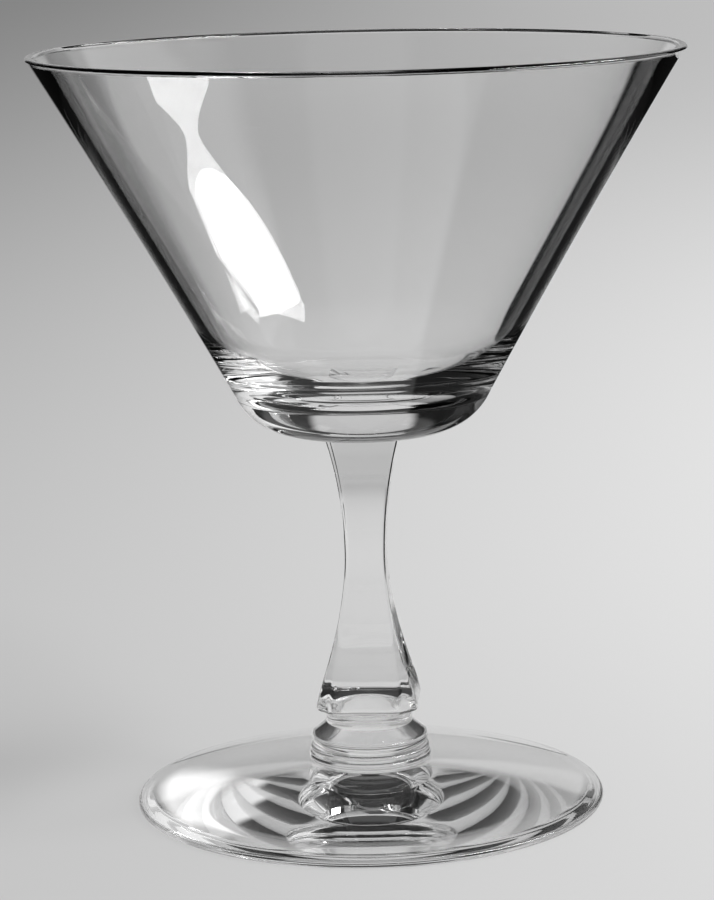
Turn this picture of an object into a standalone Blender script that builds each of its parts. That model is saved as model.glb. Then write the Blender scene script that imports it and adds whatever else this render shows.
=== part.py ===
"""Sherbet glass: a clear stemmed dessert glass put together hot from six separately made pieces.

From the table up they are a spun conical foot, a low bead, a thin ring, a shouldered collar, a pressed
four-sided stem that swells into a knop with a round base, and a blown conical bowl. Each piece meets the next
on a flat seat, and the seats are one thin seam apart. Units are metres, +Z is up, the foot stands on Z = 0.
"""

import math

import bmesh
import bpy

# Seam left between two fused seats.
SEAM = 0.0003

# Foot: a spun cone that falls to a round edge, with a dished hollow underneath that leaves a standing ring.
FOOT_RADIUS = 0.0352
FOOT_EDGE = 0.0018
FOOT_SEAT_HEIGHT = 0.0062
FOOT_HOLLOW = 0.0017
STANDING_RING = 0.0025

# Bead, ring and collar: the stack of rounded rings between the foot and the stem. The bead is partly sunk.
BEAD_RADIUS = 0.0092
BEAD_HEIGHT = 0.0010
BEAD_SUNK = 0.0002
RING_RADIUS = 0.0090
RING_HEIGHT = 0.0007
COLLAR_RADIUS = 0.00875
COLLAR_LIP_HEIGHT = 0.0018
COLLAR_SHOULDER_HEIGHT = 0.0017
NECK_RADIUS = 0.0065
NECK_HEIGHT = 0.0020
GROOVE_DEPTH = 0.0005
NECK_ROUND = 0.0008

# Stem: half-widths across the flats of its four-sided section, the radius of the knop's round base, and
# where they lie along its length.
STEM_LENGTH = 0.0415
STEM_TOP_HALF_WIDTH = 0.0054
STEM_WAIST_HALF_WIDTH = 0.0030
STEM_WAIST_HEIGHT = 0.0236
KNOP_SHOULDER_HALF_WIDTH = 0.0062
KNOP_SHOULDER_HEIGHT = 0.0060
KNOP_RADIUS = 0.0076
KNOP_EDGE_HEIGHT = 0.0008
KNOP_BEVEL = 0.0005
SHAFT_CHAMFER = 0.0004
KNOP_CHAMFER = 0.0019

# How the half-widths run between those heights, as powers of the share of the way.
KNOP_FALL = 1.25
WAIST_FALL = 1.75
TOP_SPREAD = 2.0

# Bowl: a flared cone with a rounded heel, a thick floor and a fire-polished lip.
BOWL_RADIUS = 0.0480
BOWL_HEIGHT = 0.0566
BOWL_SLOPE = math.radians(29.7)
BOWL_FLARE = 0.0004
HEEL_RADIUS = 0.0099
BOTTOM_SLOPE = math.radians(7.0)
LIP_THICKNESS = 0.0012
HEEL_WALL = 0.0017
FLOOR_THICKNESS = 0.0070
FLOOR_SLOPE = math.radians(1.0)
INNER_HEEL_RADIUS = 0.0236

# The largest share of a straight run that a rounding or a chamfer may use up.
LARGEST_SHARE = 0.9

# Facets around the turned pieces and along their curves.
BOWL_STEPS = 80
FOOT_STEPS = 72
RING_STEPS = 56
ARC_POINTS = 9
WALL_POINTS = 6
HOLLOW_POINTS = 4
SHAFT_LEVELS = 8
PANEL_POINTS = 4
MERGE = 1e-6
ARRIS_ANGLE = math.radians(25.0)

# Clear, colourless glass.
GLASS_COLOUR = (0.94, 0.94, 0.94, 1.0)
GLASS_ROUGHNESS = 0.02
GLASS_IOR = 1.52


def clear_scene():
    """Take every object out of the scene."""
    for old in list(bpy.data.objects):
        bpy.data.objects.remove(old, do_unlink=True)


def glass_material(name):
    """Clear polished glass."""
    material = bpy.data.materials.new(name)
    material.use_nodes = True
    shader = material.node_tree.nodes["Principled BSDF"]
    shader.inputs["Base Color"].default_value = GLASS_COLOUR
    shader.inputs["Roughness"].default_value = GLASS_ROUGHNESS
    shader.inputs["Metallic"].default_value = 0.0
    shader.inputs["IOR"].default_value = GLASS_IOR
    shader.inputs["Transmission Weight"].default_value = 1.0
    return material


def arc(centre, radius, start, end):
    """Points on a circular arc from one angle to another, ends included."""
    angles = (start + (end - start) * i / (ARC_POINTS - 1) for i in range(ARC_POINTS))
    return [(centre[0] + radius * math.cos(a), centre[1] + radius * math.sin(a)) for a in angles]


def fillet(before, corner, after, radius):
    """Round the corner between two straight runs, limited to the shorter run."""
    back = (before[0] - corner[0], before[1] - corner[1])
    on = (after[0] - corner[0], after[1] - corner[1])
    back_length = math.hypot(*back)
    on_length = math.hypot(*on)
    back = (back[0] / back_length, back[1] / back_length)
    on = (on[0] / on_length, on[1] / on_length)
    half = math.acos(back[0] * on[0] + back[1] * on[1]) / 2
    radius = min(radius, LARGEST_SHARE * min(back_length, on_length) * math.tan(half))
    bisector = (back[0] + on[0], back[1] + on[1])
    bisector_length = math.hypot(*bisector)
    reach = radius / math.sin(half) / bisector_length
    centre = (corner[0] + bisector[0] * reach, corner[1] + bisector[1] * reach)
    run = radius / math.tan(half)
    first = math.atan2(corner[1] + back[1] * run - centre[1], corner[0] + back[0] * run - centre[0])
    last = math.atan2(corner[1] + on[1] * run - centre[1], corner[0] + on[0] * run - centre[0])
    turn = (last - first + math.pi) % (2 * math.pi) - math.pi
    return arc(centre, radius, first, first + turn)


def rounded_side(top_radius, bottom_radius, crown_radius, height, sunk):
    """A ring's side from its top down to zero: a half-ellipse between grooves, cut off where it is sunk."""
    depth = height + sunk
    end = math.acos(1 - 2 * height / depth) / math.pi
    side = []
    for i in range(ARC_POINTS):
        share = end * i / (ARC_POINTS - 1)
        groove = top_radius + (bottom_radius - top_radius) * share
        swell = math.sin(math.pi * share)
        drop = (1 - math.cos(math.pi * share)) / 2
        side.append((groove + (crown_radius - groove) * swell, height - depth * drop))
    return side


def turned(name, profile, steps, base, collection):
    """A solid of revolution about Z from a profile that runs from the axis, out, down and back to it."""
    mesh = bpy.data.meshes.new(name)
    edges = [(i, i + 1) for i in range(len(profile) - 1)]
    mesh.from_pydata([(radius, 0.0, height) for radius, height in profile], edges, [])
    part = bpy.data.objects.new(name, mesh)
    part.location.z = base
    collection.objects.link(part)
    screw = part.modifiers.new("Turn", "SCREW")
    screw.steps = steps
    screw.render_steps = steps
    screw.use_merge_vertices = True
    screw.merge_threshold = MERGE
    screw.use_smooth_shade = True
    part.data.materials.append(glass_material(name + "_glass"))
    return part


def foot_profile():
    """Flat seat in the middle, an evenly falling top, a round edge, a standing ring and a dished hollow."""
    edge_round = FOOT_EDGE / 2
    edge_centre = (FOOT_RADIUS - edge_round, edge_round)
    ring_inner = FOOT_RADIUS - edge_round - STANDING_RING
    profile = [(0.0, FOOT_SEAT_HEIGHT), (foot_seat_radius(), FOOT_SEAT_HEIGHT)]
    profile += arc(edge_centre, edge_round, math.pi / 2, -math.pi / 2)
    profile.append((ring_inner, 0.0))
    for i in range(1, HOLLOW_POINTS + 1):
        share = 1 - i / HOLLOW_POINTS
        profile.append((ring_inner * share, FOOT_HOLLOW * (1 - share ** 2)))
    return profile


def foot_seat_radius():
    """The foot's flat seat takes the whole bead."""
    return BEAD_RADIUS


def bead_profile():
    """The low bead, sunk a little into the foot."""
    top_radius = RING_RADIUS - GROOVE_DEPTH / 2
    bottom_radius = BEAD_RADIUS - GROOVE_DEPTH
    side = rounded_side(top_radius, bottom_radius, BEAD_RADIUS, BEAD_HEIGHT, BEAD_SUNK)
    return [(0.0, BEAD_HEIGHT)] + side + [(0.0, 0.0)]


def ring_profile():
    """The thin ring between the bead and the collar."""
    top_radius = COLLAR_RADIUS - GROOVE_DEPTH / 2
    bottom_radius = RING_RADIUS - GROOVE_DEPTH / 2
    side = rounded_side(top_radius, bottom_radius, RING_RADIUS, RING_HEIGHT, 0.0)
    return [(0.0, RING_HEIGHT)] + side + [(0.0, 0.0)]


def collar_height():
    """Lip, shoulder and neck together."""
    return COLLAR_LIP_HEIGHT + COLLAR_SHOULDER_HEIGHT + NECK_HEIGHT


def collar_profile():
    """A short neck on a sloping shoulder with a rounded lip below."""
    height = collar_height()
    crease = COLLAR_LIP_HEIGHT + COLLAR_SHOULDER_HEIGHT
    groove = COLLAR_RADIUS - GROOVE_DEPTH / 2
    neck_round = min(NECK_ROUND, LARGEST_SHARE * NECK_HEIGHT)
    profile = [(0.0, height)]
    profile += arc((NECK_RADIUS - neck_round, height - neck_round), neck_round, math.pi / 2, 0.0)
    profile.append((NECK_RADIUS, crease))
    profile += rounded_side(groove, groove, COLLAR_RADIUS, COLLAR_LIP_HEIGHT, 0.0)
    profile.append((0.0, 0.0))
    return profile


def stem_seat_radius():
    """The knop's round seat covers the flat top of the neck."""
    return NECK_RADIUS - NECK_ROUND


def section(half_width, chamfer):
    """A square with chamfered corners, as points going round from the middle of the +X panel."""
    flat = half_width - min(chamfer, LARGEST_SHARE * half_width)
    quarter = [(half_width, flat * i / PANEL_POINTS) for i in range(PANEL_POINTS + 1)]
    quarter += [(flat * i / PANEL_POINTS, half_width) for i in range(PANEL_POINTS, 0, -1)]
    points = []
    for turn in range(4):
        cosine = round(math.cos(turn * math.pi / 2))
        sine = round(math.sin(turn * math.pi / 2))
        points += [(x * cosine - y * sine, x * sine + y * cosine) for x, y in quarter]
    return points


def round_section(outline, radius):
    """The circle that a faceted outline closes to, point for point."""
    return [(x * radius / math.hypot(x, y), y * radius / math.hypot(x, y)) for x, y in outline]


def between(first, last, share):
    """The outline a share of the way from one outline to another, point for point."""
    return [(a + (c - a) * share, b + (d - b) * share) for (a, b), (c, d) in zip(first, last)]


def stem_sections():
    """The stem's outlines from its seat up: round knop, four-sided shaft, waist and spreading top."""
    knop = section(KNOP_RADIUS, KNOP_CHAMFER)
    sections = [(0.0, round_section(knop, stem_seat_radius()))]
    sections.append((KNOP_EDGE_HEIGHT - KNOP_BEVEL, round_section(knop, KNOP_RADIUS - KNOP_BEVEL)))
    sections.append((KNOP_EDGE_HEIGHT, round_section(knop, KNOP_RADIUS)))
    for i in range(1, SHAFT_LEVELS + 1):
        share = i / SHAFT_LEVELS
        height = KNOP_EDGE_HEIGHT + (KNOP_SHOULDER_HEIGHT - KNOP_EDGE_HEIGHT) * share
        half_width = KNOP_RADIUS + (KNOP_SHOULDER_HALF_WIDTH - KNOP_RADIUS) * share ** KNOP_FALL
        faceted = section(half_width, blended_chamfer(height))
        sections.append((height, between(round_section(faceted, half_width), faceted, share)))
    for i in range(1, SHAFT_LEVELS + 1):
        share = i / SHAFT_LEVELS
        height = KNOP_SHOULDER_HEIGHT + (STEM_WAIST_HEIGHT - KNOP_SHOULDER_HEIGHT) * share
        spread = KNOP_SHOULDER_HALF_WIDTH - STEM_WAIST_HALF_WIDTH
        half_width = STEM_WAIST_HALF_WIDTH + spread * (1 - share) ** WAIST_FALL
        sections.append((height, section(half_width, blended_chamfer(height))))
    for i in range(1, SHAFT_LEVELS + 1):
        share = i / SHAFT_LEVELS
        height = STEM_WAIST_HEIGHT + (STEM_LENGTH - STEM_WAIST_HEIGHT) * share
        spread = STEM_TOP_HALF_WIDTH - STEM_WAIST_HALF_WIDTH
        half_width = STEM_WAIST_HALF_WIDTH + spread * share ** TOP_SPREAD
        sections.append((height, section(half_width, SHAFT_CHAMFER)))
    return sections


def blended_chamfer(height):
    """Wide corner facets on the knop that narrow to fine arrises at the waist."""
    share = (height - KNOP_EDGE_HEIGHT) / (STEM_WAIST_HEIGHT - KNOP_EDGE_HEIGHT)
    return KNOP_CHAMFER + (SHAFT_CHAMFER - KNOP_CHAMFER) * min(1.0, max(0.0, share))


def lofted_stem(name, base, collection):
    """Skin the stem's unlike sections, round at the seat and four-sided above, into one closed solid."""
    grid = bmesh.new()
    rows = [[grid.verts.new((x, y, height)) for x, y in outline] for height, outline in stem_sections()]
    for lower, upper in zip(rows, rows[1:]):
        for i in range(len(lower)):
            j = (i + 1) % len(lower)
            grid.faces.new((lower[i], lower[j], upper[j], upper[i]))
    grid.faces.new(list(reversed(rows[0])))
    grid.faces.new(rows[-1])
    mesh = bpy.data.meshes.new(name)
    grid.to_mesh(mesh)
    grid.free()
    mesh.shade_smooth()
    mesh.set_sharp_from_angle(angle=ARRIS_ANGLE)
    part = bpy.data.objects.new(name, mesh)
    part.location.z = base
    collection.objects.link(part)
    part.data.materials.append(glass_material(name + "_glass"))
    return part


def bowl_seat_radius():
    """The bowl's flat seat reaches past the corners of the stem's top."""
    return math.hypot(STEM_TOP_HALF_WIDTH, STEM_TOP_HALF_WIDTH - SHAFT_CHAMFER)


def bowl_wall_radius(height, inset):
    """Radius of the flared wall at a height: the straight cone less the flare's hollow and an inset."""
    cone = BOWL_RADIUS - (BOWL_HEIGHT - height) * math.tan(BOWL_SLOPE)
    share = (BOWL_HEIGHT - height) / BOWL_HEIGHT
    return cone - 4 * BOWL_FLARE * share * (1 - share) - inset


def bowl_profile():
    """Inner floor, inner heel, inner wall, round lip, outer wall, heel and underside down to the seat."""
    lip_round = LIP_THICKNESS / 2
    seat = (bowl_seat_radius(), 0.0)
    wall_run = 1 / math.tan(BOWL_SLOPE)
    foot_of_cone = bowl_wall_radius(0.0, 0.0)
    corner_height = (foot_of_cone - seat[0]) * math.tan(BOTTOM_SLOPE)
    corner_height /= 1 - math.tan(BOTTOM_SLOPE) * math.tan(BOWL_SLOPE)
    corner = (foot_of_cone + corner_height / wall_run, corner_height)
    wall_top = BOWL_HEIGHT - lip_round
    wall_foot = corner_height + HEEL_RADIUS
    outer = fillet((bowl_wall_radius(wall_foot, 0.0), wall_foot), corner, seat, HEEL_RADIUS)
    heights = [wall_top + (outer[0][1] - wall_top) * i / WALL_POINTS for i in range(WALL_POINTS)]
    outer = [(bowl_wall_radius(h, 0.0), h) for h in heights] + outer

    floor = (0.0, FLOOR_THICKNESS)
    heel_inset = HEEL_WALL / math.cos(BOWL_SLOPE)
    inner_corner_height = FLOOR_THICKNESS + (foot_of_cone - heel_inset) * math.tan(FLOOR_SLOPE)
    inner_corner = (bowl_wall_radius(inner_corner_height, heel_inset), inner_corner_height)
    inner_top = (bowl_wall_radius(wall_top, LIP_THICKNESS), wall_top)
    inner = fillet(floor, inner_corner, inner_top, INNER_HEEL_RADIUS)
    start = inner[-1]
    for i in range(1, WALL_POINTS):
        share = i / WALL_POINTS
        height = start[1] + (wall_top - start[1]) * share
        hollow = 4 * BOWL_FLARE * share * (1 - share)
        inner.append((start[0] + (inner_top[0] - start[0]) * share - hollow, height))
    lip_centre = (BOWL_RADIUS - lip_round, wall_top)
    lip = arc(lip_centre, lip_round, math.pi, 0.0)
    return [floor] + inner + lip + outer[1:] + [seat, (0.0, 0.0)]


def build():
    """Stack the six pieces from the table up, one seam apart."""
    clear_scene()
    collection = bpy.data.collections.new("sherbet_glass")
    bpy.context.scene.collection.children.link(collection)
    height = 0.0
    turned("foot", foot_profile(), FOOT_STEPS, height, collection)
    height += FOOT_SEAT_HEIGHT + SEAM
    turned("bead", bead_profile(), RING_STEPS, height, collection)
    height += BEAD_HEIGHT + SEAM
    turned("ring", ring_profile(), RING_STEPS, height, collection)
    height += RING_HEIGHT + SEAM
    turned("collar", collar_profile(), RING_STEPS, height, collection)
    height += collar_height() + SEAM
    lofted_stem("stem", height, collection)
    height += STEM_LENGTH + SEAM
    turned("bowl", bowl_profile(), BOWL_STEPS, height, collection)


build()
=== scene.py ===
"""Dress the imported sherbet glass: six clear glass pieces, fused seat to seat, on a pale studio floor.

Every piece is one closed surface on a grid of rows and columns. Columns go round the Z axis. Rows follow the
piece's profile from the middle of its top, out, down and back to the middle of its underside. Where two
pieces were melted together the faces of both carry a clear seam, so light goes through the joint as through
one solid.
"""

import enum
import logging
import math
from dataclasses import dataclass

import bpy
import numpy as np
from mathutils import Matrix, Vector


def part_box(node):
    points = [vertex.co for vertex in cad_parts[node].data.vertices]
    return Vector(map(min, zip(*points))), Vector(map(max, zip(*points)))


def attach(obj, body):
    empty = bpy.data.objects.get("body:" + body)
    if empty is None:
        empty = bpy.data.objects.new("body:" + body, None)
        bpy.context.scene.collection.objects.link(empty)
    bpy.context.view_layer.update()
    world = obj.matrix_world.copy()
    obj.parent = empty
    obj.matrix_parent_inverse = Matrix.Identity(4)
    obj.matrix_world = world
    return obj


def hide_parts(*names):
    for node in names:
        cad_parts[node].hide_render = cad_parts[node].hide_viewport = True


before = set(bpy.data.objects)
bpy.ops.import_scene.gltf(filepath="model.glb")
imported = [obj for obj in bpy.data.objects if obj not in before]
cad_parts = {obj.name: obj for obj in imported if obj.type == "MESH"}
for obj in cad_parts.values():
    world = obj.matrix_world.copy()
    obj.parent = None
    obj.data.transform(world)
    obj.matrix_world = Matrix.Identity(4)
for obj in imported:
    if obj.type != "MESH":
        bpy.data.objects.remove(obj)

Array = np.ndarray
Colour = tuple[float, float, float, float]

LOG = logging.getLogger("sherbet_glass")
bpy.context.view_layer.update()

BODY = "root"

# Columns round every piece: one number for all, so that fused outlines meet point for point.
COLUMNS = 256
# Faces that meet at more than this angle keep a crisp edge between them.
CRISP_EDGE = math.radians(32.0)
# Depth of the grooves between the rings, and how much of the bead's height is sunk in the foot.
GROOVE = 0.0005
BEAD_SUNK = 0.0002


class Skin(enum.IntEnum):
    """What the faces of a run of rows are: polished glass in the air, or a joint melted shut."""

    POLISHED = 0
    SEAM = 1


class Sight(enum.Enum):
    """The kinds of ray that a studio surface tells apart."""

    CAMERA = "Is Camera Ray"
    GLOSSY = "Is Glossy Ray"
    TRANSMISSION = "Is Transmission Ray"
    SHADOW = "Is Shadow Ray"
    DIFFUSE = "Is Diffuse Ray"


def span(node: str) -> tuple[float, float, float]:
    """Where a CAD node stands.

    Args:
        node: Name of the node.

    Returns:
        Its lowest height, its highest height and its reach from the Z axis along X.
    """
    low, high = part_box(node)
    return low[2], high[2], high[0]


def share_of_way(value: Array, start: float, end: float) -> Array:
    """How far a value has come from start to end: 0 before the start and 1 beyond the end."""
    return np.clip((value - start) / (end - start), 0.0, 1.0)


def azimuths() -> Array:
    """Angles of the columns, evenly round the axis, starting at +X."""
    return np.linspace(0.0, 2.0 * math.pi, COLUMNS, endpoint=False)


def arc(centre: tuple[float, float], radius: float, start: float, end: float, count: int) -> Array:
    """Points of a circular arc: centre plus radius times (cosine, sine) of an evenly stepped angle.

    Args:
        centre: Radius and height of the arc's centre.
        radius: Radius of the arc.
        start: First angle.
        end: Last angle.
        count: Number of points.

    Returns:
        Array of (radius, height) rows.
    """
    angle = np.linspace(start, end, count)
    return np.column_stack((centre[0] + radius * np.cos(angle), centre[1] + radius * np.sin(angle)))


def line(first: tuple[float, float], last: tuple[float, float], count: int) -> Array:
    """Points evenly spread on a straight run, both ends included.

    Args:
        first: Radius and height at the start.
        last: Radius and height at the end.
        count: Number of points.

    Returns:
        Array of (radius, height) rows.
    """
    share = np.linspace(0.0, 1.0, count)[:, None]
    return np.asarray(first) * (1.0 - share) + np.asarray(last) * share


def fillet(before: Array, corner: Array, after: Array, radius: float, count: int) -> Array:
    """Round a corner: the arc that touches both runs, with its centre on their bisector.

    Args:
        before: A point on the run into the corner.
        corner: The sharp corner.
        after: A point on the run out of the corner.
        radius: Radius of the rounding.
        count: Number of points.

    Returns:
        Array of (radius, height) rows from the first run to the second.
    """
    corner = np.asarray(corner, float)
    back = np.asarray(before, float) - corner
    on = np.asarray(after, float) - corner
    back /= np.linalg.norm(back)
    on /= np.linalg.norm(on)
    half = math.acos(float(back @ on)) / 2.0
    middle = (back + on) / np.linalg.norm(back + on)
    centre = corner + middle * radius / math.sin(half)
    first, last = (corner + way * radius / math.tan(half) - centre for way in (back, on))
    start = math.atan2(first[1], first[0])
    turn = (math.atan2(last[1], last[0]) - start + math.pi) % (2.0 * math.pi) - math.pi
    return arc(tuple(centre), radius, start, start + turn, count)


def swelling_side(
    top: tuple[float, float], bottom: tuple[float, float], crown: float, count: int, sunk: float = 0.0
) -> Array:
    """A ring's side from the top down: a half-ellipse that swells from one groove to the crown and back.

    The radius is the groove's plus the crown's excess times the sine of half a turn, and the height falls by
    half of one minus its cosine. A sunk ring's turn ends early, where that height is reached.

    Args:
        top: Radius and height of the upper groove.
        bottom: Radius and height of the lower groove.
        crown: Radius at the fullest point.
        count: Number of points.
        sunk: How much of the ring's height is missing at the bottom.

    Returns:
        Array of (radius, height) rows.
    """
    depth = top[1] - bottom[1]
    share = np.linspace(0.0, math.acos(2.0 * sunk / depth - 1.0) / math.pi, count)
    groove = top[0] + (bottom[0] - top[0]) * share
    radius = groove + (crown - groove) * np.sin(math.pi * share)
    height = top[1] + (bottom[1] - top[1]) * (1.0 - np.cos(math.pi * share)) / 2.0
    return np.column_stack((radius, height))


def four_sided(half_width: Array, chamfer: Array, softness: float) -> Array:
    """Outlines of a square with chamfered, softened corners, as a radius for each row and column.

    One over the radius is the high-order norm, over the four flats and the four corner facets, of the cosine
    of the angle to the facet divided by the facet's distance from the axis. The order sets how crisp the
    arrises are.

    Args:
        half_width: Distance of the flats from the axis, one for each row.
        chamfer: Width cut off each corner along the flats, one for each row.
        softness: Order of the norm.

    Returns:
        Array of radii, rows by columns.
    """
    angle = azimuths()[None, :, None]
    facing = np.arange(8)[None, None, :] * math.pi / 4.0
    flat = np.asarray(half_width, float)[:, None, None]
    corner = (2.0 * flat - np.asarray(chamfer, float)[:, None, None]) / math.sqrt(2.0)
    distance = np.where(np.arange(8)[None, None, :] % 2 == 0, flat, corner)
    near = np.clip(np.cos(angle - facing), 0.0, None) / distance
    return (near**softness).sum(axis=2) ** (-1.0 / softness)


def turned(profile: Array) -> tuple[Array, Array]:
    """Radius and height grids of a profile carried round the axis: the same in every column."""
    ones = np.ones(COLUMNS)
    return profile[:, :1] * ones, profile[:, 1:] * ones


def closed_surface(name: str, radius: Array, height: Array, skins: Array) -> bpy.types.Object:
    """Make a closed mesh from a grid: x and y are the radius times cosine and sine of the column's angle.

    The first and last rows are the poles on the axis. Triangles close each pole and four-sided faces the
    rest, wound so that they face outwards when the rows run from the top, out, down and back.

    Args:
        name: Name of the piece.
        radius: Radii, rows by columns.
        height: Heights, rows by columns.
        skins: The skin of the faces between each row and the next.

    Returns:
        The piece, at the origin.
    """
    angle = azimuths()
    ring = np.stack((radius * np.cos(angle), radius * np.sin(angle), height), axis=2)[1:-1]
    rows = len(ring)
    points = np.concatenate(([[0.0, 0.0, height[0, 0]]], ring.reshape(-1, 3), [[0.0, 0.0, height[-1, 0]]]))
    index = 1 + np.arange(rows * COLUMNS).reshape(rows, COLUMNS)
    beside = np.roll(index, -1, axis=1)
    last = len(points) - 1
    cap = np.column_stack((np.zeros(COLUMNS, int), index[0], beside[0]))
    quads = np.stack((index[:-1], index[1:], beside[1:], beside[:-1]), axis=2).reshape(-1, 4)
    base = np.column_stack((index[-1], np.full(COLUMNS, last), beside[-1]))
    mesh = bpy.data.meshes.new(name)
    mesh.from_pydata(points.tolist(), [], cap.tolist() + quads.tolist() + base.tolist())
    mesh.polygons.foreach_set("material_index", np.repeat(np.asarray(skins, np.int32), COLUMNS))
    mesh.shade_smooth()
    mesh.set_sharp_from_angle(angle=CRISP_EDGE)
    mesh.update()
    piece = bpy.data.objects.new(name, mesh)
    bpy.context.scene.collection.objects.link(piece)
    return piece


def settle(piece: bpy.types.Object, node: str) -> None:
    """Let a piece stand for its CAD node and ride on the body.

    Args:
        piece: The finished piece.
        node: The CAD node it stands for.
    """
    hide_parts(node)
    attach(piece, BODY)
    LOG.info("%s: %d faces", piece.name, len(piece.data.polygons))


class NodeBench:
    """A node tree with short calls for adding and wiring its nodes."""

    def __init__(self, tree: bpy.types.NodeTree) -> None:
        """Start from an empty tree."""
        self.tree = tree
        tree.nodes.clear()

    def add(self, kind: str, **settings: object) -> bpy.types.Node:
        """Add a node.

        Args:
            kind: Blender's name of the node type.
            settings: Properties to set on it.

        Returns:
            The node.
        """
        node = self.tree.nodes.new(kind)
        for key, value in settings.items():
            setattr(node, key, value)
        return node

    def wire(self, source: bpy.types.NodeSocket, target: bpy.types.NodeSocket) -> None:
        """Link an output to an input."""
        self.tree.links.new(source, target)

    def math(self, operation: str, *terms: bpy.types.NodeSocket | float) -> bpy.types.NodeSocket:
        """Add a Math node.

        Args:
            operation: Its operation.
            terms: Sockets or plain numbers for its inputs.

        Returns:
            Its output.
        """
        node = self.add("ShaderNodeMath", operation=operation)
        for socket, term in zip(node.inputs, terms):
            if isinstance(term, bpy.types.NodeSocket):
                self.wire(term, socket)
            else:
                socket.default_value = term
        return node.outputs["Value"]

    def ramp(self, value: bpy.types.NodeSocket, start: float, end: float) -> bpy.types.NodeSocket:
        """Smooth step of a value, from 0 at start to 1 at end.

        Args:
            value: The value to step.
            start: Where the step begins.
            end: Where it ends.

        Returns:
            The step.
        """
        node = self.add("ShaderNodeMapRange", interpolation_type="SMOOTHSTEP")
        node.inputs["From Min"].default_value = start
        node.inputs["From Max"].default_value = end
        self.wire(value, node.inputs["Value"])
        return node.outputs["Result"]

    def sight(self, *kinds: Sight) -> bpy.types.NodeSocket:
        """One where the ray is any of the named kinds, else zero.

        Args:
            kinds: Kinds of ray.

        Returns:
            The switch.
        """
        path = self.add("ShaderNodeLightPath")
        switch = path.outputs[kinds[0].value]
        for kind in kinds[1:]:
            switch = self.math("MAXIMUM", switch, path.outputs[kind.value])
        return switch

    def blend(self, factor: bpy.types.NodeSocket, low: object, high: object) -> bpy.types.NodeSocket:
        """Mix two colours.

        Args:
            factor: Share of the second colour.
            low: First colour, a socket or four numbers.
            high: Second colour, a socket or four numbers.

        Returns:
            The mixed colour.
        """
        node = self.add("ShaderNodeMix", data_type="RGBA")
        self.wire(factor, node.inputs["Factor"])
        for socket, colour in ((node.inputs[6], low), (node.inputs[7], high)):
            if isinstance(colour, bpy.types.NodeSocket):
                self.wire(colour, socket)
            else:
                socket.default_value = colour
        return node.outputs[2]


@dataclass(frozen=True)
class ClearGlass:
    """Polished clear glass: faint handling haze in its gloss and the soft waviness of hot-worked glass.

    Light from the lamps goes straight through to what stands behind, dimmed more where it grazes the glass.
    """

    name: str
    tint: Colour = (0.988, 0.988, 0.988, 1.0)
    ior: float = 1.52
    clean_gloss: float = 0.0
    hazy_gloss: float = 0.02
    haze_scale: float = 60.0
    wave_scale: float = 45.0
    wave_depth: float = 0.00001
    shade_square: Colour = (0.935, 0.935, 0.935, 1.0)
    shade_grazing: Colour = (0.455, 0.455, 0.455, 1.0)

    def material(self) -> bpy.types.Material:
        """Build the finish.

        Returns:
            The material.
        """
        material = bpy.data.materials.new(self.name)
        material.use_nodes = True
        bench = NodeBench(material.node_tree)
        place = bench.add("ShaderNodeTexCoord").outputs["Object"]
        glass = bench.add("ShaderNodeBsdfPrincipled")
        glass.inputs["Base Color"].default_value = self.tint
        glass.inputs["Metallic"].default_value = 0.0
        glass.inputs["IOR"].default_value = self.ior
        glass.inputs["Transmission Weight"].default_value = 1.0
        bench.wire(self.gloss(bench, place), glass.inputs["Roughness"])
        bench.wire(self.waviness(bench, place), glass.inputs["Normal"])
        bare = bench.add("ShaderNodeBsdfTransparent")
        grazing = bench.add("ShaderNodeLayerWeight")
        shade = bench.blend(grazing.outputs["Facing"], self.shade_square, self.shade_grazing)
        bench.wire(shade, bare.inputs["Color"])
        mix = bench.add("ShaderNodeMixShader")
        bench.wire(bench.sight(Sight.SHADOW, Sight.DIFFUSE), mix.inputs["Fac"])
        bench.wire(glass.outputs["BSDF"], mix.inputs[1])
        bench.wire(bare.outputs["BSDF"], mix.inputs[2])
        output = bench.add("ShaderNodeOutputMaterial")
        bench.wire(mix.outputs["Shader"], output.inputs["Surface"])
        return material

    def gloss(self, bench: NodeBench, place: bpy.types.NodeSocket) -> bpy.types.NodeSocket:
        """Roughness: nearly none, with faint patches of handling haze.

        Args:
            bench: The material's nodes.
            place: Object coordinates.

        Returns:
            The roughness.
        """
        noise = bench.add("ShaderNodeTexNoise")
        noise.inputs["Scale"].default_value = self.haze_scale
        noise.inputs["Detail"].default_value = 4.0
        bench.wire(place, noise.inputs["Vector"])
        patch = bench.ramp(noise.outputs["Fac"], 0.5, 0.75)
        reach = bench.math("MULTIPLY", patch, self.hazy_gloss - self.clean_gloss)
        return bench.math("ADD", reach, self.clean_gloss)

    def waviness(self, bench: NodeBench, place: bpy.types.NodeSocket) -> bpy.types.NodeSocket:
        """Bent normal: the slow waves of hot-worked glass.

        Args:
            bench: The material's nodes.
            place: Object coordinates.

        Returns:
            The normal.
        """
        noise = bench.add("ShaderNodeTexNoise")
        noise.inputs["Scale"].default_value = self.wave_scale
        noise.inputs["Detail"].default_value = 1.0
        bench.wire(place, noise.inputs["Vector"])
        relief = bench.math("MULTIPLY", noise.outputs["Fac"], self.wave_depth)
        bump = bench.add("ShaderNodeBump")
        bump.inputs["Strength"].default_value = 1.0
        bump.inputs["Distance"].default_value = 1.0
        bench.wire(relief, bump.inputs["Height"])
        return bump.outputs["Normal"]


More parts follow.
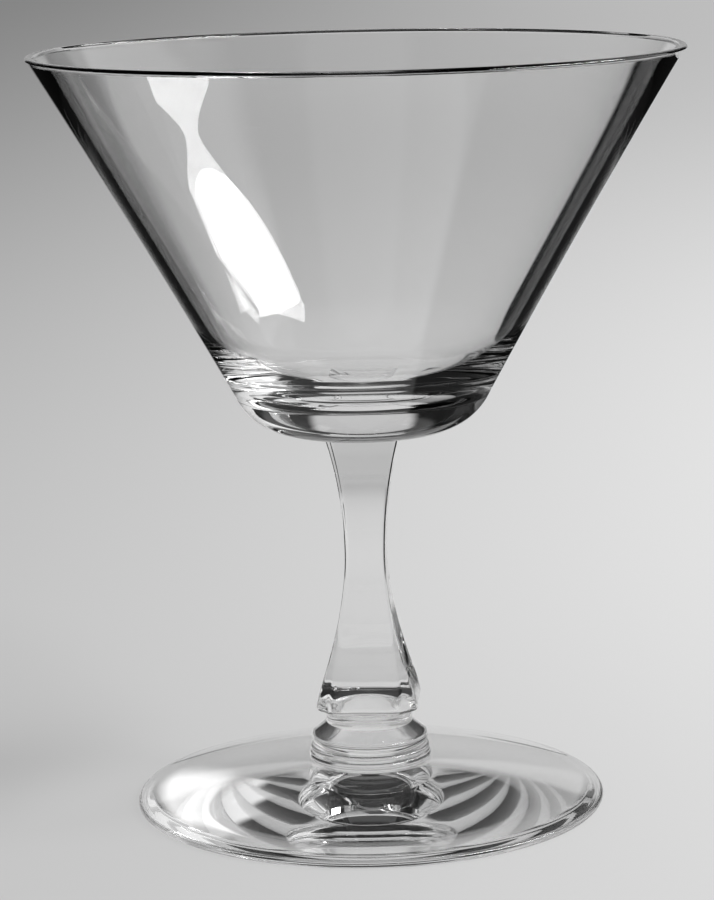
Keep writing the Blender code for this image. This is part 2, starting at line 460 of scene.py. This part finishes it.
@dataclass(frozen=True)
class FusedSeam:
    """A joint melted shut: light goes through it as if it weren't there."""

    name: str = "fused_seam"

    def material(self) -> bpy.types.Material:
        """Build the finish.

        Returns:
            The material.
        """
        material = bpy.data.materials.new(self.name)
        material.use_nodes = True
        bench = NodeBench(material.node_tree)
        bare = bench.add("ShaderNodeBsdfTransparent")
        output = bench.add("ShaderNodeOutputMaterial")
        bench.wire(bare.outputs["BSDF"], output.inputs["Surface"])
        return material


@dataclass
class Finishes:
    """The materials that the pieces share."""

    blown: bpy.types.Material
    spun: bpy.types.Material
    pressed: bpy.types.Material
    seam: bpy.types.Material

    @classmethod
    def make(cls) -> "Finishes":
        """Build each finish once."""
        return cls(
            blown=ClearGlass("blown_glass", tint=(0.955, 0.955, 0.955, 1.0)).material(),
            spun=ClearGlass(
                "spun_glass",
                tint=(0.995, 0.995, 0.995, 1.0),
                shade_square=(0.995, 0.995, 0.995, 1.0),
                shade_grazing=(0.92, 0.92, 0.92, 1.0),
            ).material(),
            pressed=ClearGlass("pressed_glass", wave_scale=180.0).material(),
            seam=FusedSeam().material(),
        )

    def dress(self, piece: bpy.types.Object, glass: bpy.types.Material) -> None:
        """Give a piece its glass and its seam, in the order of the skins."""
        piece.data.materials.append(glass)
        piece.data.materials.append(self.seam)


@dataclass
class Foot:
    """A spun cone: flat seat, gently domed top, round edge, standing ring and a dished underside."""

    base: float
    seat_height: float
    radius: float
    contact: float
    edge: float = 0.0012
    hollow: float = 0.0018
    standing_ring: float = 0.0025
    seat_radius: float = 0.0092
    dome: float = 0.0007
    dish_power: float = 3.0

    def build(self) -> bpy.types.Object:
        """The cone as one turned surface.

        The top lies above the straight cone by four domes times the share of the way out times what is left
        of it. The dish rises by its depth times one minus a power of the share of its radius.

        Returns:
            The piece.
        """
        half = self.edge / 2.0
        ring = self.radius - half - self.standing_ring
        seat = line((0.0, self.seat_height), (self.contact, self.seat_height), 3)
        ledge = line((self.contact, self.seat_height), (self.seat_radius, self.seat_height), 3)[1:]
        top = line((self.seat_radius, self.seat_height), (self.radius - half, self.base + self.edge), 40)[1:]
        fall = np.linspace(0.0, 1.0, 40)[1:]
        top[:, 1] += 4.0 * self.dome * fall * (1.0 - fall)
        edge = arc((self.radius - half, self.base + half), half, math.pi / 2.0, -math.pi / 2.0, 25)[1:]
        standing = line((self.radius - half, self.base), (ring, self.base), 6)[1:]
        share = np.linspace(1.0, 0.0, 40)[1:]
        under = np.column_stack((ring * share, self.base + self.hollow * (1.0 - share**self.dish_power)))
        profile = np.concatenate((seat, ledge, top, edge, standing, under))
        skins = np.full(len(profile) - 1, Skin.POLISHED)
        skins[: len(seat) - 1] = Skin.SEAM
        return closed_surface("foot_glass", *turned(profile), skins)


@dataclass
class TurnedRing:
    """A rounded ring of the stack between foot and stem, melted to its neighbours above and below."""

    name: str
    base: float
    top: float
    crown: float
    top_contact: float
    base_contact: float
    sunk: float = 0.0

    def side(self) -> Array:
        """The side from the upper contact down, cut off where it is sunk.

        Returns:
            Array of (radius, height) rows.
        """
        bottom = (self.base_contact, self.base - self.sunk)
        return swelling_side((self.top_contact, self.top), bottom, self.crown, 33, self.sunk)

    def build(self) -> bpy.types.Object:
        """The ring as one turned surface with a seam on both seats.

        Returns:
            The piece.
        """
        side = self.side()
        cap = line((0.0, self.top), tuple(side[0]), 3)[:-1]
        seat = line(tuple(side[-1]), (0.0, self.base), 3)[1:]
        profile = np.concatenate((cap, side, seat))
        skins = np.full(len(profile) - 1, Skin.POLISHED)
        skins[: len(cap)] = Skin.SEAM
        skins[-len(seat) :] = Skin.SEAM
        return closed_surface(self.name, *turned(profile), skins)


@dataclass
class Collar(TurnedRing):
    """The top of the stack: a rounded lip, a sloping shoulder and a short neck that carries the stem."""

    lip_height: float = 0.0018
    shoulder_height: float = 0.0017
    neck_radius: float = 0.0065
    neck_round: float = 0.0008

    def side(self) -> Array:
        """Rounded neck, crease, sloping shoulder and swelling lip.

        Returns:
            Array of (radius, height) rows.
        """
        crease = self.base + self.lip_height + self.shoulder_height
        neck_centre = (self.neck_radius - self.neck_round, self.top - self.neck_round)
        neck = arc(neck_centre, self.neck_round, math.pi / 2.0, 0.0, 13)
        wall = line(tuple(neck[-1]), (self.neck_radius, crease), 5)[1:]
        lip_top = (self.base_contact, self.base + self.lip_height)
        shoulder = line((self.neck_radius, crease), lip_top, 9)[1:]
        lip = swelling_side(lip_top, (self.base_contact, self.base), self.crown, 25)[1:]
        return np.concatenate((neck, wall, shoulder, lip))


@dataclass
class Stem:
    """A pressed four-sided stem: round seat, faceted knop, falling shaft, waist and spreading top."""

    base: float
    top: float
    seat_radius: float
    top_half_width: float = 0.0054
    waist_half_width: float = 0.0030
    waist_height: float = 0.0236
    shoulder_half_width: float = 0.0062
    shoulder_height: float = 0.0060
    knop_radius: float = 0.0076
    knop_edge: float = 0.0010
    knop_bevel: float = 0.0007
    knop_power: float = 1.25
    shaft_power: float = 1.75
    shaft_chamfer: float = 0.0002
    knop_chamfer: float = 0.0026
    softness: float = 60.0

    def top_outline(self) -> Array:
        """Radii of the outline that is melted to the bowl."""
        return four_sided([self.top_half_width], [self.shaft_chamfer], self.softness)[0]

    def half_width(self, height: Array) -> Array:
        """Distance of the flats from the axis.

        It falls slowly from the knop's edge to its shoulder, by a power of the share of the way, sweeps in to
        the waist by a power of what is left of the way, and spreads by the square of the share of the way to
        the top.

        Args:
            height: Heights above the stem's seat.

        Returns:
            Half-widths.
        """
        low = share_of_way(height, self.knop_edge, self.shoulder_height)
        middle = share_of_way(height, self.shoulder_height, self.waist_height)
        high = share_of_way(height, self.waist_height, self.top - self.base)
        knop = self.knop_radius + (self.shoulder_half_width - self.knop_radius) * low**self.knop_power
        narrowing = self.shoulder_half_width - self.waist_half_width
        shaft = self.waist_half_width + narrowing * (1.0 - middle) ** self.shaft_power
        spread = (self.top_half_width - self.waist_half_width) * high**2
        return np.where(height < self.shoulder_height, knop, shaft + spread)

    def chamfer(self, height: Array) -> Array:
        """Corner facets: wide on the knop, narrowing by the cube of what is left of the way to the waist.

        Args:
            height: Heights above the stem's seat.

        Returns:
            Chamfers.
        """
        share = share_of_way(height, self.knop_edge, self.waist_height)
        return self.shaft_chamfer + (self.knop_chamfer - self.shaft_chamfer) * (1.0 - share) ** 3

    def build(self) -> bpy.types.Object:
        """Skin the outlines from the top down, then turn the knop under to its round seat.

        The knop's edge follows a quarter circle in and keeps the outline. From there a flat cone runs to the
        seat, and its outline changes evenly from four-sided to a circle.

        Returns:
            The piece.
        """
        heights = np.linspace(self.top - self.base, self.knop_edge, 150)
        shaft = four_sided(self.half_width(heights), self.chamfer(heights), self.softness)
        angle = np.linspace(0.0, math.pi / 2.0, 9)[1:]
        tuck = self.knop_bevel * (1.0 - np.cos(angle))
        tuck_height = self.knop_edge - self.knop_bevel * np.sin(angle)
        edge = shaft[-1] - tuck[:, None]
        share = np.linspace(0.0, 1.0, 9)[1:, None]
        under = edge[-1] * (1.0 - share) + self.seat_radius * share
        under_height = tuck_height[-1] * (1.0 - share[:, 0])
        cap = shaft[0] * np.linspace(0.0, 1.0, 3)[:-1, None]
        seat = self.seat_radius * np.linspace(1.0, 0.0, 3)[1:, None] * np.ones(COLUMNS)
        radius = np.concatenate((cap, shaft, edge, under, seat))
        rise = np.concatenate((np.full(2, heights[0]), heights, tuck_height, under_height, np.zeros(2)))
        skins = np.full(len(rise) - 1, Skin.POLISHED)
        skins[:2] = Skin.SEAM
        skins[-2:] = Skin.SEAM
        return closed_surface("stem_glass", radius, (self.base + rise)[:, None] * np.ones(COLUMNS), skins)


@dataclass
class Bowl:
    """A blown flared cone with a round lip, a rounded heel, a thick floor and a flat seat on the stem."""

    base: float
    rim: float
    radius: float
    stem_outline: Array
    cad_base: float
    seat_radius: float = 0.00736
    slope: float = math.radians(29.7)
    flare: float = 0.0004
    heel_radius: float = 0.0099
    bottom_slope: float = math.radians(7.0)
    lip: float = 0.0012
    wall: float = 0.0016
    floor_thickness: float = 0.0066
    sweep: float = 0.0105

    def flared(self, cone: Array, height: Array) -> Array:
        """Narrow a cone by the flare's hollow, a parabola in height that is zero at rim and seat.

        Args:
            cone: Radii of the straight shape.
            height: World heights.

        Returns:
            Radii of the flared shape.
        """
        drop = self.rim - np.asarray(height)
        share = drop / (self.rim - self.cad_base)
        straight = self.radius - drop * math.tan(self.slope)
        return cone * (1.0 - 4.0 * self.flare * share * (1.0 - share) / straight)

    def outer(self, height: Array) -> Array:
        """Outer radius of the flared wall at a height."""
        drop = self.rim - np.asarray(height)
        return self.flared(self.radius - drop * math.tan(self.slope), height)

    def outside(self) -> Array:
        """Wall from under the lip down, heel and underside to the seat's edge.

        Returns:
            Array of (radius, height) rows.
        """
        seat = np.array((self.seat_radius, self.base))
        cone = float(self.outer(self.cad_base))
        rise = (cone - seat[0]) * math.tan(self.bottom_slope)
        rise /= 1.0 - math.tan(self.bottom_slope) * math.tan(self.slope)
        corner = np.array((cone + rise * math.tan(self.slope), self.cad_base + rise))
        above = self.cad_base + rise + self.heel_radius
        heel = fillet((float(self.outer(above)), above), corner, seat, self.heel_radius, 33)
        height = np.linspace(self.rim - self.lip / 2.0, heel[0, 1], 60)[:-1]
        wall = np.column_stack((self.outer(height), height))
        return np.concatenate((wall, heel, line(tuple(heel[-1]), tuple(seat), 12)[1:]))

    def inside(self) -> Array:
        """Dished floor that sweeps up into the wall, and an even wall that thins to the lip.

        The floor's height rises by a power of the share of the way out to where the wall begins. The power is
        the one that lets it meet the inner cone without a kink. The wall thins to the lip by the sixth power
        of the share of the way up.

        Returns:
            Array of (radius, height) rows.
        """
        floor = self.cad_base + self.floor_thickness
        incline = math.tan(self.slope)
        inset = self.wall / math.cos(self.slope)
        reach = self.radius - (self.rim - floor - self.sweep) * incline - inset
        out = np.linspace(0.0, 1.0, 88)
        bottom = np.column_stack((reach * out, floor + self.sweep * out ** (reach / (incline * self.sweep))))
        share = np.linspace(0.0, 1.0, 50)[1:]
        rise = bottom[-1, 1] + (self.rim - self.lip / 2.0 - bottom[-1, 1]) * share
        cone = self.radius - (self.rim - rise) * incline
        inner = cone - inset - (self.lip - inset) * share**6
        shape = np.concatenate((bottom, np.column_stack((inner, rise))))
        return np.column_stack((self.flared(shape[:, 0], shape[:, 1]), shape[:, 1]))

    def build(self) -> bpy.types.Object:
        """Turn the profile, then let the flat seat run from its round edge in to the stem's outline.

        Returns:
            The piece.
        """
        half = self.lip / 2.0
        lip = arc((self.radius - half, self.rim - half), half, math.pi, 0.0, 17)[1:-1]
        radius, height = turned(np.concatenate((self.inside(), lip, self.outside())))
        share = np.linspace(0.0, 1.0, 5)[1:, None]
        ledge = self.seat_radius * (1.0 - share) + self.stem_outline * share
        seam = self.stem_outline * np.linspace(1.0, 0.0, 3)[1:, None]
        radius = np.concatenate((radius, ledge, seam))
        height = np.concatenate((height, np.full((len(ledge) + len(seam), COLUMNS), self.base)))
        skins = np.full(len(radius) - 1, Skin.POLISHED)
        skins[-len(seam) :] = Skin.SEAM
        return closed_surface("bowl_glass", radius, height, skins)


@dataclass(frozen=True)
class Surround:
    """What the glass mirrors and bends into view: a dark room with a pale backdrop, a window and some paper.

    Headings turn from straight ahead of the camera towards its right. The backdrop stands ahead and behind,
    the wall behind is dim and the window is on the right. The paper lies under the glass and fans out beyond
    it. The table is dark on both sides of that fan and in a band close by on the right, and pale far away.
    """

    heading: float = math.radians(-4.0)
    backdrop_half: float = math.radians(17.0)
    backdrop_top: float = math.radians(18.5)
    backdrop_fade: float = math.radians(2.5)
    backdrop_tone: float = 0.55
    horizon_tone: float = 0.46
    window_start: float = math.radians(42.0)
    window_end: float = math.radians(118.0)
    window_top: float = math.radians(46.0)
    window_tone: float = 1.0
    paper_reach: float = 0.085
    paper_left: float = math.radians(-17.0)
    paper_right: float = math.radians(13.8)
    table_left: float = math.radians(-64.0)
    table_right: float = math.radians(66.0)
    table_far: float = 1.5
    table_soft: float = 0.0085
    beside_start: float = math.radians(40.0)
    beside_end: float = math.radians(130.0)
    beside_reach: float = 0.045
    band_width: float = 0.22
    band_soft: float = 0.005
    shade_start: float = math.radians(-6.0)
    shade_near: float = 0.0595
    shade_far: float = 0.1275
    shade: float = 0.5
    far_start: float = 1.0
    far_end: float = 2.0
    far_tone: float = 0.90
    table_tone: float = 0.01
    room_tone: float = 0.012
    thrown_start: float = math.radians(-118.0)
    thrown_end: float = math.radians(-74.0)
    thrown_near: float = 0.0205
    thrown_far: float = 0.0310
    thrown_soft: float = 0.0015
    thrown_turn: float = math.radians(8.0)
    thrown_tone: float = 1.0
    dim_tone: float = 0.27
    rear: float = math.radians(150.0)
    soft: float = math.radians(2.5)
    sharp: float = math.radians(0.6)

    def axes(self, bench: NodeBench, way: bpy.types.NodeSocket) -> bpy.types.bpy_prop_collection:
        """Split a direction or a place into its parts to the right, ahead and up, as the camera stands.

        Args:
            bench: The nodes.
            way: A direction or a place.

        Returns:
            The parts, under X, Y and Z.
        """
        turn = bench.add("ShaderNodeVectorRotate", rotation_type="Z_AXIS")
        turn.inputs["Angle"].default_value = self.heading
        bench.wire(way, turn.inputs["Vector"])
        axes = bench.add("ShaderNodeSeparateXYZ")
        bench.wire(turn.outputs["Vector"], axes.inputs["Vector"])
        return axes.outputs

    def bearing(self, bench: NodeBench, axes: bpy.types.bpy_prop_collection) -> bpy.types.NodeSocket:
        """Heading of a direction or a place, from its parts."""
        return bench.math("ARCTAN2", axes["X"], axes["Y"])

    def between(
        self, bench: NodeBench, value: bpy.types.NodeSocket, start: float, end: float, soft: float
    ) -> bpy.types.NodeSocket:
        """One between two limits, zero outside them, with soft edges.

        Args:
            bench: The nodes.
            value: The value to sort.
            start: Lower limit.
            end: Upper limit.
            soft: Half of the width of each edge.

        Returns:
            The share.
        """
        rise = bench.ramp(value, start - soft, start + soft)
        fall = bench.ramp(value, end + soft, end - soft)
        return bench.math("MULTIPLY", rise, fall)

    def dark_table(self, bench: NodeBench, place: bpy.types.NodeSocket) -> bpy.types.NodeSocket:
        """One on the dark table beside the paper, else zero.

        Args:
            bench: The floor's nodes.
            place: Place on the floor.

        Returns:
            The share.
        """
        axes = self.axes(bench, place)
        bearing = self.bearing(bench, axes)
        left = self.between(bench, bearing, self.table_left, self.paper_left, self.sharp)
        right = self.between(bench, bearing, self.paper_right, self.table_right, self.sharp)
        near = bench.math("LESS_THAN", axes["X"], self.band_width)
        sides = bench.math("MAXIMUM", left, bench.math("MULTIPLY", right, near))
        reach = self.reach(bench, place)
        away = self.between(bench, reach, self.paper_reach, self.table_far, self.table_soft)
        sides = bench.math("MULTIPLY", sides, away)
        beside = self.between(bench, bearing, self.beside_start, self.beside_end, self.soft)
        close = self.between(bench, reach, self.beside_reach, self.band_width, self.band_soft)
        return bench.math("MAXIMUM", sides, bench.math("MULTIPLY", beside, close))

    def shading(self, bench: NodeBench, place: bpy.types.NodeSocket) -> bpy.types.NodeSocket:
        """Light that the paper beyond the glass loses: none ahead and on the right, most at its left edge.

        Args:
            bench: The floor's nodes.
            place: Place on the floor.

        Returns:
            The share that is lost.
        """
        axes = self.axes(bench, place)
        bearing = self.bearing(bench, axes)
        lost = bench.ramp(bearing, self.shade_start, self.paper_left)
        behind = bench.math("GREATER_THAN", axes["Y"], 0.0)
        away = bench.ramp(self.reach(bench, place), self.shade_near, self.shade_far)
        there = bench.math("MULTIPLY", lost, behind)
        return bench.math("MULTIPLY", there, bench.math("MULTIPLY", away, self.shade))

    def thrown(self, bench: NodeBench, place: bpy.types.NodeSocket) -> bpy.types.NodeSocket:
        """Light that the glass throws on the table under the left of its foot: its brightness.

        Args:
            bench: The floor's nodes.
            place: Place on the floor.

        Returns:
            The brightness.
        """
        axes = self.axes(bench, place)
        bearing = self.bearing(bench, axes)
        side = self.between(bench, bearing, self.thrown_start, self.thrown_end, self.thrown_turn)
        reach = self.reach(bench, place)
        depth = self.between(bench, reach, self.thrown_near, self.thrown_far, self.thrown_soft)
        return bench.math("MULTIPLY", bench.math("MULTIPLY", side, depth), self.thrown_tone)

    def reach(self, bench: NodeBench, place: bpy.types.NodeSocket) -> bpy.types.NodeSocket:
        """Distance of a place on the floor from the middle of the glass.

        Args:
            bench: The floor's nodes.
            place: Place on the floor.

        Returns:
            The distance.
        """
        node = bench.add("ShaderNodeVectorMath", operation="LENGTH")
        bench.wire(place, node.inputs[0])
        return node.outputs["Value"]

    def room(self, bench: NodeBench, way: bpy.types.NodeSocket) -> bpy.types.NodeSocket:
        """Brightness of the room in a direction.

        Args:
            bench: The world's nodes.
            way: The direction.

        Returns:
            The brightness.
        """
        axes = self.axes(bench, way)
        height = bench.math("ARCSINE", axes["Z"])
        bearing = self.bearing(bench, axes)
        square = bench.math("ABSOLUTE", bench.math("SINE", bearing))
        behind = bench.ramp(
            square, math.sin(self.backdrop_half + self.soft), math.sin(self.backdrop_half - self.soft)
        )
        low = bench.ramp(height, self.backdrop_top + self.backdrop_fade, self.backdrop_top)
        backdrop = bench.math("MULTIPLY", behind, low)
        sideways = self.between(bench, bearing, self.window_start, self.window_end, self.soft)
        under = bench.ramp(height, self.window_top + self.soft, self.window_top - self.soft)
        window = bench.math("MULTIPLY", sideways, under)
        rise = bench.ramp(height, 0.0, self.backdrop_top / 2.0)
        lift = bench.math("MULTIPLY", rise, self.backdrop_tone - self.horizon_tone)
        pale = bench.math("ADD", lift, self.horizon_tone)
        tone = bench.math("MULTIPLY_ADD", backdrop, pale, self.room_tone)
        rear = bench.ramp(bench.math("ABSOLUTE", bearing), self.rear - self.soft, self.rear + self.soft)
        dim = bench.math("MULTIPLY", rear, self.dim_tone)
        return bench.math("MAXIMUM", bench.math("MULTIPLY_ADD", window, self.window_tone, tone), dim)


@dataclass
class Studio:
    """Floor, world, lamps and camera."""

    surround: Surround
    # Painted light and shade across the floor: its colour at the shaded left and lit right ends of a sideways
    # ramp.
    painted_shade_left: Colour = (0.45, 0.45, 0.45, 1.0)
    painted_light_right: Colour = (1.0, 1.0, 1.0, 1.0)
    painted_falloff_reach: float = 0.40
    floor_reach: float = 5.0
    floor_drop: float = 0.00005
    floor_rows: int = 23
    background: Colour = (0.55, 0.55, 0.55, 1.0)
    ambient: float = 0.50
    key_heading: float = math.radians(120.0)
    key_distance: float = 0.60
    key_near: float = math.radians(-49.5)
    key_far: float = math.radians(9.0)
    key_top: float = 0.966
    key_bottom: float = 0.72
    key_aim: tuple[float, float, float] = (-0.020, 0.025, 0.088)
    key_power: float = 7.5
    focal: float = 3127.7
    frame_height: float = 900.0
    camera_distance: float = 0.4571
    camera_height: float = 0.14192
    pitch: float = math.radians(10.947)
    yaw: float = math.radians(-0.128)
    roll: float = math.radians(-1.215)

    def build(self) -> None:
        """Set up the whole studio."""
        self.floor()
        self.world()
        self.key_lamp()
        self.camera()
        scene = bpy.context.scene
        scene.view_settings.view_transform = "Standard"
        scene.cycles.max_bounces = 32
        scene.cycles.transmission_bounces = 32
        scene.cycles.glossy_bounces = 16
        scene.cycles.transparent_max_bounces = 64
        scene.cycles.caustics_reflective = False
        scene.cycles.caustics_refractive = False

    def floor(self) -> None:
        """A wide pale disc just under the foot: rows spread by the square of the share of the way out."""
        reach = self.floor_reach * np.linspace(0.0, 1.0, self.floor_rows + 1)[1:, None] ** 2
        angle = azimuths()[None, :]
        level = np.full((self.floor_rows, COLUMNS), -self.floor_drop)
        points = np.stack((reach * np.cos(angle), reach * np.sin(angle), level), axis=2)
        index = np.arange(self.floor_rows * COLUMNS).reshape(self.floor_rows, COLUMNS)
        beside = np.roll(index, -1, axis=1)
        faces = np.stack((index[:-1], index[1:], beside[1:], beside[:-1]), axis=2).reshape(-1, 4)
        middle = [index[0].tolist()]
        mesh = bpy.data.meshes.new("studio_floor")
        mesh.from_pydata(points.reshape(-1, 3).tolist(), [], faces.tolist() + middle)
        floor = bpy.data.objects.new("studio_floor", mesh)
        bpy.context.scene.collection.objects.link(floor)
        floor.data.materials.append(self.floor_material())

    def floor_material(self) -> bpy.types.Material:
        """Matt pale floor with painted shade to the left and painted light to the right, that keeps the
        object's shadow and shows the glass the surround's table and a painted pool of light.

        Returns:
            The material.
        """
        material = bpy.data.materials.new("pale_floor")
        material.use_nodes = True
        bench = NodeBench(material.node_tree)
        place = bench.add("ShaderNodeTexCoord").outputs["Object"]
        glass_sight = bench.sight(Sight.GLOSSY, Sight.TRANSMISSION)
        # Painted shade: the floor darkens towards the left and brightens towards the right, as light from the
        # window on the right falls off.
        sideways = bench.ramp(self.surround.axes(bench, place)["X"], -self.painted_falloff_reach, self.painted_falloff_reach)
        colour = bench.blend(sideways, self.painted_shade_left, self.painted_light_right)
        pale, dark = self.surround.far_tone, self.surround.table_tone
        far = bench.ramp(self.surround.reach(bench, place), self.surround.far_start, self.surround.far_end)
        colour = bench.blend(bench.math("MULTIPLY", far, glass_sight), colour, (pale, pale, pale, 1.0))
        loss = self.surround.shading(bench, place)
        colour = bench.blend(bench.math("MULTIPLY", loss, glass_sight), colour, (0.0, 0.0, 0.0, 1.0))
        table = bench.math("MULTIPLY", self.surround.dark_table(bench, place), glass_sight)
        colour = bench.blend(table, colour, (dark, dark, dark, 1.0))
        matt = bench.add("ShaderNodeBsdfDiffuse")
        bench.wire(colour, matt.inputs["Color"])
        # Painted light: an emission patch stands in for the light the glass throws under the left of its
        # foot, seen only through the glass.
        glow = bench.math("MULTIPLY", self.surround.thrown(bench, place), glass_sight)
        thrown = bench.add("ShaderNodeEmission")
        bench.wire(glow, thrown.inputs["Strength"])
        both = bench.add("ShaderNodeAddShader")
        bench.wire(matt.outputs["BSDF"], both.inputs[0])
        bench.wire(thrown.outputs["Emission"], both.inputs[1])
        output = bench.add("ShaderNodeOutputMaterial")
        bench.wire(both.outputs["Shader"], output.inputs["Surface"])
        return material

    def world(self) -> None:
        """Plain ambient light, a pale background for the camera and the surround for glass."""
        world = bpy.data.worlds.new("studio")
        bpy.context.scene.world = world
        world.use_nodes = True
        bench = NodeBench(world.node_tree)
        way = bench.add("ShaderNodeTexCoord").outputs["Generated"]
        tone = self.surround.room(bench, way)
        grey = bench.add("ShaderNodeCombineColor")
        for channel in grey.inputs:
            bench.wire(tone, channel)
        ambient = (self.ambient, self.ambient, self.ambient, 1.0)
        seen = bench.blend(bench.sight(Sight.GLOSSY, Sight.TRANSMISSION), ambient, grey.outputs["Color"])
        colour = bench.blend(bench.sight(Sight.CAMERA), seen, self.background)
        back = bench.add("ShaderNodeBackground")
        bench.wire(colour, back.inputs["Color"])
        output = bench.add("ShaderNodeOutputWorld")
        bench.wire(back.outputs["Background"], output.inputs["Surface"])

    def key_lamp(self) -> None:
        """An upright window of light on a wall to the right.

        Its edges are told as the bowl's left wall sees them: headings from the wall's own, and slopes.
        """
        near, far = (self.key_distance * math.tan(edge) for edge in (self.key_near, self.key_far))
        low, high = self.key_distance * self.key_bottom, self.key_distance * self.key_top
        lamp = bpy.data.lights.new("key_window", "AREA")
        lamp.shape = "RECTANGLE"
        lamp.size, lamp.size_y = far - near, high - low
        lamp.energy = self.key_power
        out = Vector((math.sin(self.key_heading), math.cos(self.key_heading), 0.0))
        along = Vector((math.cos(self.key_heading), -math.sin(self.key_heading), 0.0))
        middle = out * self.key_distance + along * (near + far) / 2.0 + Vector((0.0, 0.0, (low + high) / 2.0))
        turn = Matrix.Rotation(-self.surround.heading, 3, "Z")
        holder = bpy.data.objects.new("key_window", lamp)
        holder.location = turn @ (Vector(self.key_aim) + middle)
        holder.rotation_euler = (turn @ out).to_track_quat("Z", "Y").to_euler()
        holder.visible_camera = False
        bpy.context.scene.collection.objects.link(holder)

    def camera(self) -> None:
        """The photograph's viewpoint: distance, height, dip, roll and focal length, turned by the heading."""
        lens = bpy.data.cameras.new("camera")
        lens.sensor_width = 36.0
        lens.lens = self.focal / self.frame_height * lens.sensor_width
        lens.clip_start = 0.01
        lens.clip_end = 100.0
        flat = math.cos(self.pitch)
        ahead = Vector((math.sin(self.yaw) * flat, math.cos(self.yaw) * flat, -math.sin(self.pitch)))
        level = Vector((math.cos(self.yaw), -math.sin(self.yaw), 0.0))
        upright = level.cross(ahead)
        right = level * math.cos(self.roll) + upright * math.sin(self.roll)
        up = upright * math.cos(self.roll) - level * math.sin(self.roll)
        axes = Matrix((right, up, -ahead)).transposed().to_4x4()
        place = Matrix.Translation((0.0, -self.camera_distance, self.camera_height))
        camera = bpy.data.objects.new("camera", lens)
        camera.matrix_world = Matrix.Rotation(-self.surround.heading, 4, "Z") @ place @ axes
        bpy.context.scene.collection.objects.link(camera)
        bpy.context.scene.camera = camera


def build_glass(finishes: Finishes) -> None:
    """Build the six pieces from the table up, each reaching down to close the seam below it.

    Args:
        finishes: The shared materials.
    """
    foot_base, foot_top, foot_radius = span("foot")
    _, bead_top, bead_crown = span("bead")
    _, ring_top, ring_crown = span("ring")
    _, collar_top, collar_crown = span("collar")
    _, stem_top, _ = span("stem")
    bowl_base, rim, bowl_radius = span("bowl")
    bead_contact = bead_crown - GROOVE
    ring_contact = ring_crown - GROOVE / 2.0
    collar_contact = collar_crown - GROOVE / 2.0
    bead = TurnedRing("bead_glass", foot_top, bead_top, bead_crown, ring_contact, bead_contact, BEAD_SUNK)
    foot = Foot(foot_base, foot_top, foot_radius, bead.side()[-1, 0])
    ring = TurnedRing("ring_glass", bead_top, ring_top, ring_crown, collar_contact, ring_contact)
    collar = Collar("collar_glass", ring_top, collar_top, collar_crown, 0.0, collar_contact)
    stem = Stem(collar_top, stem_top, collar.neck_radius - collar.neck_round)
    bowl = Bowl(stem_top, rim, bowl_radius, stem.top_outline(), bowl_base)
    makers = (
        (foot, "foot", finishes.spun),
        (bead, "bead", finishes.pressed),
        (ring, "ring", finishes.pressed),
        (collar, "collar", finishes.pressed),
        (stem, "stem", finishes.pressed),
        (bowl, "bowl", finishes.blown),
    )
    for maker, node, glass in makers:
        piece = maker.build()
        finishes.dress(piece, glass)
        settle(piece, node)


def main() -> None:
    """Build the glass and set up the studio."""
    logging.basicConfig(level=logging.INFO)
    build_glass(Finishes.make())
    Studio(Surround()).build()


if __name__ == "__main__":
    main()
